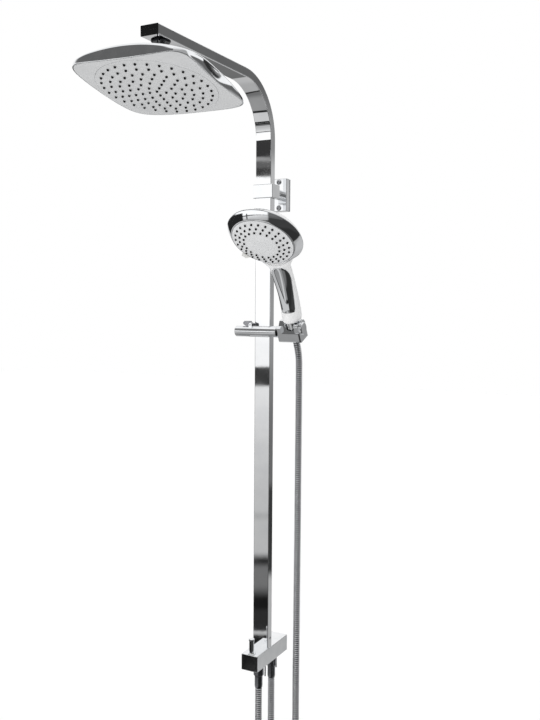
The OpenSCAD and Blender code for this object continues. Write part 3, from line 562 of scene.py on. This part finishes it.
def makeHandsetShell(count=128):
    h = handset
    rounding = h["footRound"][0]
    firstRing, handleSteps = h["handleRings"]
    grooveHalf, grooveDeep = h["groove"]
    heights = np.concatenate([
        h["foot"] + rounding * (1 - np.cos(np.linspace(0, np.pi / 2, h["footSteps"]))),
        np.linspace(h["foot"] + firstRing, h["neck"], handleSteps)[:-1],
        h["collar"] + np.array(h["grooveRings"])])
    rings = []
    for w in np.sort(heights):
        out = h["collarProud"] if w < h["collar"] else 0.0
        if abs(w - h["collar"]) < grooveHalf:
            out -= grooveDeep
        rings.append(handleRing(w, out, count))
    headSteps = np.linspace(0, 1, h["headSteps"])
    rings += [handsetRing(t, 0, count) for t in headSteps]
    rings += [handsetRing(t, h["wall"], count) for t in headSteps[::-1][::3]]
    rings += [handleRing(w, -h["wall"], count) for w in h["innerRings"]]
    rings += [oval((0, w), (1, 0), h["bore"], h["bore"], count) for w in (h["boreTop"], h["foot"])]
    return ringObject("handsetShell", rings, inHandle)


grip = {  # chrome leaf let into the front of the handle
    "low": 66.9, "high": 152, "turned": 9,
    "proud": 1.0, "edgeProud": 0.05, "sunk": 0.3,
    "sideRamp": 9, "endRamp": 12, "rampPower": 0.6,  # how fast it rises from its edges
    # half its width in degrees round the handle, along its length
    "halfAngles": ((0, 40), (0.07, 46), (0.45, 54), (0.72, 61), (0.84, 56), (0.93, 42), (1, 16)),
}


def makeGripInlay(rows=72, columns=48):
    g = grip
    outer, inner = [], []
    for i in range(rows + 1):
        w = g["low"] + (g["high"] - g["low"]) * i / rows
        half = float(np.interp(i / rows, *zip(*g["halfAngles"])))
        middle, width, depth = (float(f(w)) for f in (handleMiddle, handleWidth, handleDepth))
        fromEnd = min(1, g["endRamp"] * min(i, rows - i) / rows)
        for j in range(columns + 1):
            across = 2 * j / columns - 1
            t = math.radians(half * across + g["turned"])
            ramp = min(1, g["sideRamp"] * (1 - abs(across))) * fromEnd
            swell = math.sin(math.pi / 2 * ramp) ** g["rampPower"]
            rise = g["edgeProud"] + (g["proud"] - g["edgeProud"]) * swell
            for sheet, out in ((outer, rise), (inner, -g["sunk"])):
                sheet.append(((width + out) * math.sin(t), middle - (depth + out) * math.cos(t), w))
    n = columns + 1
    total = (rows + 1) * n
    faces = []
    for i in range(rows):
        for j in range(columns):
            a = i * n + j
            b, c, d = a + 1, a + n + 1, a + n
            faces.append((a, b, c, d))
            faces.append((total + a, total + d, total + c, total + b))
    rim = (list(range(n)) + [i * n + columns for i in range(1, rows + 1)]
           + [rows * n + j for j in range(columns - 1, -1, -1)]
           + [i * n for i in range(rows - 1, 0, -1)])
    for a, b in zip(rim, rim[1:] + rim[:1]):
        faces.append((a, total + a, total + b, b))
    return meshObject("gripInlay", inHandle(np.array(outer + inner)), faces)


sprayRing = {  # chrome ring between the shell's rim and the spray plate
    # as (radius, height)
    "section": [(51.25, 9.0), (51.25, 6.2), (51.6, 5.7), (52.4, 5.8), (54.0, 7.2), (56.2, 9.5),
                (58.3, 11.7), (60.2, 13.9), (61.8, 16.0), (62.9, 17.6), (63.5, 18.4),
                (63.5, 18.9), (60.0, 18.9), (53.0, 15.0)],
    "sides": 192,
}


def makeSprayRing():
    t = roundAngles(sprayRing["sides"])
    return ringObject("sprayRing", [ringAt(r, t, z) for r, z in sprayRing["section"]], inFace)


dress(makeHandsetShell(), "handset", "handset_shell", "white_abs")
dress(makeGripInlay(), "handset", "grip_insert", "chrome_abs")
dress(makeSprayRing(), "handset", "handset_fascia", "chrome_abs")
print("handset made")


# finishes; every texture works in real metres on the piece's own coordinates

noiseSpan = (0.3, 0.7)    # the part of a noise's range that becomes a finish's two values
toneSpan = (0.35, 0.65)   # and its two colours
sinkSize = 18 * mm        # grain of the slow waves in a moulded wall


def newMaterial(name, metallic):
    material = bpy.data.materials.new(name)
    material.use_nodes = True
    bsdf = material.node_tree.nodes["Principled BSDF"]
    bsdf.inputs["Metallic"].default_value = metallic
    return material, material.node_tree, bsdf


def surfaceNoise(tree, size, stretch=(1, 1, 1), detail=2.0, rough=0.5):  # size in metres
    coords = addNode(tree, "ShaderNodeTexCoord")
    mapping = addNode(tree, "ShaderNodeMapping", inputs={"Scale": tuple(1 / s for s in stretch)},
                      links={"Vector": coords.outputs["Object"]})
    noise = addNode(tree, "ShaderNodeTexNoise",
                    inputs={"Scale": 1 / size, "Detail": detail, "Roughness": rough},
                    links={"Vector": mapping.outputs[0]})
    return noise.outputs["Fac"]


def between(tree, factor, low, high):
    spread = addNode(tree, "ShaderNodeMapRange",
                     inputs={"From Min": noiseSpan[0], "From Max": noiseSpan[1],
                             "To Min": low, "To Max": high}, links={"Value": factor})
    return spread.outputs[0]


def twoTone(tree, factor, dark, light):
    ramp = addNode(tree, "ShaderNodeValToRGB", links={"Fac": factor})
    first, last = ramp.color_ramp.elements
    first.position, first.color = toneSpan[0], srgb(dark)
    last.position, last.color = toneSpan[1], srgb(light)
    return ramp.outputs["Color"]


def addBump(tree, bsdf, layers):  # layers are (height socket, depth in metres), coarse first
    normal = None
    for height, depth in layers:
        links = {"Height": height}
        if normal:
            links["Normal"] = normal
        normal = addNode(tree, "ShaderNodeBump", inputs={"Strength": 1.0, "Distance": depth},
                         links=links).outputs[0]
    tree.links.new(normal, bsdf.inputs["Normal"])


def makePlated(name, f):  # bright plating over a polished base
    material, tree, bsdf = newMaterial(name, 1.0)
    haze = surfaceNoise(tree, f["hazeSize"], detail=4)
    colour, rough = twoTone(tree, haze, *f["colours"]), between(tree, haze, *f["roughness"])
    if "sleeve" in f:  # the gaps of a wound strip show the dark sleeve beneath, and it darkens them as painted shade
        gap = addNode(tree, "ShaderNodeAttribute", {"attribute_name": "gap"}).outputs["Fac"]
        colour = addNode(tree, "ShaderNodeMix", {"data_type": "RGBA"}, {7: srgb(f["sleeve"])},
                         {0: gap, 6: colour}).outputs[2]
        rough = addNode(tree, "ShaderNodeMath", {"operation": "MULTIPLY_ADD"},
                        {1: f["sleeveRoughness"]}, {0: gap, 2: rough}).outputs[0]
    tree.links.new(colour, bsdf.inputs["Base Color"])
    tree.links.new(rough, bsdf.inputs["Roughness"])
    ripple = surfaceNoise(tree, f["rippleSize"], f.get("rippleStretch", (1, 1, 1)), detail=1.5)
    addBump(tree, bsdf, [(ripple, f["rippleDepth"])])
    return material


def makeMoulded(name, f):  # moulded plastics and rubbers
    material, tree, bsdf = newMaterial(name, 0.0)
    bsdf.inputs["IOR"].default_value = f["ior"]
    mottle = surfaceNoise(tree, f["mottleSize"], detail=3)
    tree.links.new(twoTone(tree, mottle, *f["colours"]), bsdf.inputs["Base Color"])
    tree.links.new(between(tree, mottle, *f["roughness"]), bsdf.inputs["Roughness"])
    grain = surfaceNoise(tree, f["grainSize"], detail=2)
    sink = surfaceNoise(tree, sinkSize, detail=1)
    addBump(tree, bsdf, [(sink, f["sinkDepth"]), (grain, f["grainDepth"])])
    return material


def makeTurned(name, f):  # bare metal with the fine rings or lines the tool leaves
    material, tree, bsdf = newMaterial(name, 1.0)
    stain = surfaceNoise(tree, f["stainSize"], detail=4)
    lines = surfaceNoise(tree, f["lineSize"], f["lineStretch"], detail=3, rough=0.7)
    tree.links.new(twoTone(tree, stain, *f["colours"]), bsdf.inputs["Base Color"])
    tree.links.new(between(tree, lines, *f["roughness"]), bsdf.inputs["Roughness"])
    addBump(tree, bsdf, [(lines, f["lineDepth"])])
    return material


finishes = {
    "chrome_tube": (makePlated, "polishedChromeOnDrawnBrass", {
        "colours": ("F0F1F3", "F7F8F9"), "roughness": (0.012, 0.035), "hazeSize": 30 * mm,
        # drawn tube ripples slightly along its length
        "rippleSize": 14 * mm, "rippleStretch": (1, 1, 2.2), "rippleDepth": 6e-6}),
    "chrome_brass": (makePlated, "polishedChromeOnCastBrass", {
        "colours": ("ECEEF0", "F5F6F7"), "roughness": (0.02, 0.05), "hazeSize": 20 * mm,
        "rippleSize": 12 * mm, "rippleDepth": 8e-6}),
    "chrome_abs": (makePlated, "chromePlatedAbs", {  # a little softer than plated metal
        "colours": ("EDEFF1", "F5F6F8"), "roughness": (0.03, 0.07), "hazeSize": 16 * mm,
        "rippleSize": 16 * mm, "rippleDepth": 1.2e-5}),
    "dark_chrome": (makePlated, "darkChrome", {
        "colours": ("88898D", "9A9B9F"), "roughness": (0.10, 0.18), "hazeSize": 8 * mm,
        "rippleSize": 6 * mm, "rippleDepth": 8e-6}),
    "black_chrome": (makePlated, "blackChrome", {
        "colours": ("1C1D1F", "2B2C2E"), "roughness": (0.10, 0.18), "hazeSize": 6 * mm,
        "rippleSize": 6 * mm, "rippleDepth": 8e-6}),
    "hose_steel": (makePlated, "polishedStripHose", {
        "colours": ("E2E3E6", "F0F1F3"), "roughness": (0.06, 0.12), "hazeSize": 6 * mm,
        "rippleSize": 3 * mm, "rippleDepth": 1.0e-5,
        # dark sleeve colour, laid in the grooves also as painted shade between the turns
        "sleeve": "18181A", "sleeveRoughness": 0.4}),
    "stainless": (makeTurned, "turnedStainless", {
        "colours": ("B9BABD", "CFD0D2"), "roughness": (0.18, 0.34), "stainSize": 5 * mm,
        "lineSize": 0.5 * mm, "lineStretch": (8, 1, 8), "lineDepth": 4e-6}),
    "brass": (makeTurned, "turnedBrass", {
        "colours": ("B8914A", "D0AC66"), "roughness": (0.22, 0.40), "stainSize": 7 * mm,
        "lineSize": 0.6 * mm, "lineStretch": (8, 8, 1), "lineDepth": 6e-6}),
    "satin_grey": (makeMoulded, "satinGreyAbs", {
        "colours": ("D6D7D8", "DBDCDD"), "roughness": (0.28, 0.36), "ior": 1.52,
        "mottleSize": 25 * mm, "grainSize": 0.5 * mm, "grainDepth": 1.5e-6, "sinkDepth": 1.5e-5}),
    "spray_face": (makeMoulded, "pearlGreyAbs", {  # lighter face of the handset
        "colours": ("E2E3E4", "E8E9EA"), "roughness": (0.24, 0.32), "ior": 1.52,
        "mottleSize": 20 * mm, "grainSize": 0.5 * mm, "grainDepth": 1.5e-6, "sinkDepth": 1.5e-5}),
    "white_abs": (makeMoulded, "glossWhiteAbs", {
        "colours": ("F2F2F3", "F6F6F6"), "roughness": (0.08, 0.15), "ior": 1.5,
        "mottleSize": 30 * mm, "grainSize": 1.2 * mm, "grainDepth": 1e-6, "sinkDepth": 1.2e-5}),
    "white_acetal": (makeMoulded, "whiteAcetal", {
        "colours": ("E3E3E0", "EDEDEA"), "roughness": (0.30, 0.45), "ior": 1.48,
        "mottleSize": 6 * mm, "grainSize": 0.8 * mm, "grainDepth": 4e-6, "sinkDepth": 1e-5}),
    "black_plastic": (makeMoulded, "blackNylon", {
        "colours": ("131313", "1E1E1F"), "roughness": (0.40, 0.60), "ior": 1.5,
        "mottleSize": 4 * mm, "grainSize": 0.6 * mm, "grainDepth": 1.5e-5, "sinkDepth": 1e-5}),
    "silicone": (makeMoulded, "darkSilicone", {
        "colours": ("0B0B0C", "161617"), "roughness": (0.45, 0.60), "ior": 1.42,
        "mottleSize": 2 * mm, "grainSize": 0.4 * mm, "grainDepth": 8e-6, "sinkDepth": 1e-6}),
    "rubber_seal": (makeMoulded, "blackEpdm", {
        "colours": ("101011", "1A1A1B"), "roughness": (0.55, 0.75), "ior": 1.5,
        "mottleSize": 3 * mm, "grainSize": 0.3 * mm, "grainDepth": 1e-5, "sinkDepth": 1e-6}),
}
materials = {slot: make(name, f) for slot, (make, name, f) in finishes.items()}

otherFinishes = {  # CAD nodes that look different from their slot in the record
    "spray_plate": "spray_face", "spray_centre": "spray_face",
    "clamp_lever": "dark_chrome", "ball_collar": "black_chrome",
}


def wear(obj, slot):
    obj.data.materials.clear()
    obj.data.materials.append(materials[slot])


for part in frame["record"]["subparts"]:
    wear(nodes[part["node"]], otherFinishes.get(part["node"], part["material_slot"]))
for obj in bpy.data.objects:
    if "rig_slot" in obj:
        wear(obj, obj["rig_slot"])
print("finishes made:", len(materials))


# studio: a white tent with dark cards for bright metal to mirror, and even light for all else

studio = {
    # cards from the floor up, as (elevation in degrees, softness, brightness above it)
    "allRound": [(-90, 1, 0.17), (-60.4, 0.4, 0.015), (-59.2, 0.4, 0.42), (-40, 8, 0.50),
                 (-16.3, 0.5, 0.16), (-9.5, 2.5, 0.60), (-4, 3, 0.97), (30, 4, 0.90),
                 (60, 6, 1.0)],
    # cards on one side, each laid over those before it: the middle of the side, the cosines of
    # its outer and inner edge, the lowest and highest elevation if it has them, and its cards
    "sides": {
        "behind": ((0.469, 0.883, 0), (0.90, 0.96), None, [
            (-90, 1, 0.25), (-50, 5, 0.55), (-25, 3, 0.44), (-18.2, 0.4, 0.04),
            (-12.4, 0.4, 0.15), (-8.0, 1.5, 0.19), (-4.5, 2.0, 0.31), (4.5, 2.5, 0.50),
            (9.5, 0.8, 0.28), (13.0, 1.5, 0.13), (18.7, 0.5, 1.0)]),
        "front": ((-0.478, -0.878, 0), (0.35, 0.75), None, [
            (-90, 1, 0.31), (-44.6, 0.8, 0.015), (-41.0, 0.8, 0.62), (-24.7, 0.5, 0.012),
            (-22.0, 0.08, 0.50), (-21.75, 0.06, 0.026), (-20.4, 0.15, 0.0105),
            (-19.3, 0.5, 0.17), (-17.6, 0.25, 0.03), (-17.0, 0.3, 0.50), (-14.6, 0.2, 0.41),
            (-14.2, 0.2, 0.52), (-11.0, 3.5, 0.66), (-7.5, 2.5, 0.83), (-5.65, 0.06, 0.042),
            (-4.35, 0.06, 0.99), (-2.0, 1.2, 1.14), (8.42, 0.05, 0.05), (8.98, 0.05, 0.12),
            (9.42, 0.08, 0.33), (9.7, 0.06, 0.04), (13.5, 2.5, 0.012), (21.5, 0.35, 0.95),
            (24.3, 0.4, 0.13), (46.0, 3.0, 1.0)]),
        "left": ((-0.99, -0.10, 0), (0.79, 0.83), (-21, 3), [(-90, 1, 0.02)]),
        "right": ((0.93, -0.37, 0), (0.58, 0.66), (-90, 60), [
            (-90, 1, 0.17), (-56, 3, 0.03), (-34, 3, 0.05), (-13.5, 0.8, 0.12), (-8, 2, 0.16),
            (14, 5, 0.40), (42, 6, 0.80)]),
        "strip": ((-0.36, -0.93, 0), (0.970, 0.992), (-75, -42), [(-90, 1, 0.62)]),
        "stroke": ((-0.60, -0.80, 0), (0.9994, 0.9998), (-11.5, 0), [(-90, 1, 0.03)]),
        "wedge": ((0.19, 0.98, 0), (0.983, 0.988), (10, 34), [
            (-90, 1, 0.03), (23, 2, 0.40), (30, 1, 0.06)]),
    },
    "windowSoftness": 1,
    "brightFrom": (-0.62, -0.72, 0.30),  # the even light is a little stronger from here
    "evenLight": 0.86, "evenSwing": 0.42,
    "floor": {"height": -1.6, "reach": 12, "colour": "F4F4F4", "glow": 0.16},
}


def stackCards(tree, height, cards):
    base = addNode(tree, "ShaderNodeValue")
    last = cards[0][2]
    base.outputs[0].default_value = last
    total = base.outputs[0]
    for angle, soft, value in cards[1:]:
        step = addNode(tree, "ShaderNodeMapRange", {"interpolation_type": "SMOOTHSTEP"},
                       {"From Min": angle - soft, "From Max": angle + soft, "To Min": 0.0,
                        "To Max": value - last}, {"Value": height})
        total = addNode(tree, "ShaderNodeMath", {"operation": "ADD"},
                        links={0: total, 1: step.outputs[0]}).outputs[0]
        last = value
    return total


def facing(tree, flat, direction, low, high):
    dot = addNode(tree, "ShaderNodeVectorMath", {"operation": "DOT_PRODUCT"},
                  {1: unit(direction)}, {0: flat})
    step = addNode(tree, "ShaderNodeMapRange", {"interpolation_type": "SMOOTHSTEP"},
                   {"From Min": low, "From Max": high}, {"Value": dot.outputs["Value"]})
    return step.outputs[0]


def layCards(tree, height, flat, s):
    total = stackCards(tree, height, s["allRound"])
    for middle, edges, window, cards in s["sides"].values():
        here = facing(tree, flat, middle, *edges)
        if window:
            soft = s["windowSoftness"]
            shade = stackCards(tree, height, [(-90, soft, 0.0), (window[0], soft, 1.0),
                                              (window[1], soft, 0.0)])
            here = addNode(tree, "ShaderNodeMath", {"operation": "MULTIPLY"},
                           links={0: here, 1: shade}).outputs[0]
        total = addNode(tree, "ShaderNodeMix", {"data_type": "FLOAT"},
                        links={0: here, 2: total, 3: stackCards(tree, height, cards)}).outputs[0]
    return total


def background(tree, strength=None):  # white, as bright as the socket says or else 1
    return addNode(tree, "ShaderNodeBackground", inputs={"Color": (1, 1, 1, 1), "Strength": 1.0},
                   links={"Strength": strength} if strength else None).outputs[0]


def makeWorld(s):
    world = bpy.data.worlds.new("studio")
    bpy.context.scene.world = world
    world.use_nodes = True
    tree = world.node_tree
    tree.nodes.clear()
    direction = addNode(tree, "ShaderNodeTexCoord").outputs["Generated"]
    parts = addNode(tree, "ShaderNodeSeparateXYZ", links={0: direction})
    asin = addNode(tree, "ShaderNodeMath", {"operation": "ARCSINE"},
                   links={0: parts.outputs["Z"]}).outputs[0]
    height = addNode(tree, "ShaderNodeMath", {"operation": "DEGREES"}, links={0: asin}).outputs[0]
    level = addNode(tree, "ShaderNodeVectorMath", {"operation": "MULTIPLY"}, {1: (1, 1, 0)},
                    {0: direction}).outputs[0]
    flat = addNode(tree, "ShaderNodeVectorMath", {"operation": "NORMALIZE"},
                   links={0: level}).outputs[0]
    swing = addNode(tree, "ShaderNodeVectorMath", {"operation": "DOT_PRODUCT"},
                    {1: unit(s["brightFrom"])}, {0: direction}).outputs["Value"]
    even = addNode(tree, "ShaderNodeMath", {"operation": "MULTIPLY_ADD"},
                   {1: s["evenSwing"], 2: s["evenLight"]}, {0: swing}).outputs[0]

    rays = addNode(tree, "ShaderNodeLightPath")
    glossySees = background(tree, layCards(tree, height, flat, s))
    surfaces = addNode(tree, "ShaderNodeMixShader",
                       links={0: rays.outputs["Is Glossy Ray"], 1: background(tree, even),
                              2: glossySees})
    clear = addNode(tree, "ShaderNodeMath", {"operation": "MAXIMUM"},
                    links={0: rays.outputs["Is Camera Ray"],
                           1: rays.outputs["Is Transmission Ray"]})
    result = addNode(tree, "ShaderNodeMixShader",
                     links={0: clear.outputs[0], 1: surfaces.outputs[0],
                            2: background(tree)})
    addNode(tree, "ShaderNodeOutputWorld", links={"Surface": result.outputs[0]})


def makeFloor(f):
    size, height = f["reach"], f["height"]
    corners = [(-size, -size, height), (size, -size, height), (size, size, height),
               (-size, size, height)]
    floor = meshObject("studioFloor", corners, [(0, 1, 2, 3)])
    material = bpy.data.materials.new("paleFloor")
    material.use_nodes = True
    tree = material.node_tree
    tree.nodes.clear()
    rays = addNode(tree, "ShaderNodeLightPath")
    paint = addNode(tree, "ShaderNodeBsdfDiffuse", inputs={"Color": srgb(f["colour"])})
    glow = addNode(tree, "ShaderNodeMath", {"operation": "MULTIPLY"}, {1: f["glow"]},
                   {0: rays.outputs["Is Camera Ray"]})
    light = addNode(tree, "ShaderNodeEmission", inputs={"Color": (1, 1, 1, 1)},
                    links={"Strength": glow.outputs[0]})
    lit = addNode(tree, "ShaderNodeAddShader", links={0: paint.outputs[0], 1: light.outputs[0]})
    seeThrough = addNode(tree, "ShaderNodeBsdfTransparent")
    mix = addNode(tree, "ShaderNodeMixShader",
                  links={0: rays.outputs["Is Glossy Ray"], 1: lit.outputs[0],
                         2: seeThrough.outputs[0]})
    addNode(tree, "ShaderNodeOutputMaterial", links={"Surface": mix.outputs[0]})
    floor.data.materials.append(material)


makeWorld(studio)
makeFloor(studio["floor"])
bpy.context.scene.view_settings.view_transform = "Standard"
print("studio made")
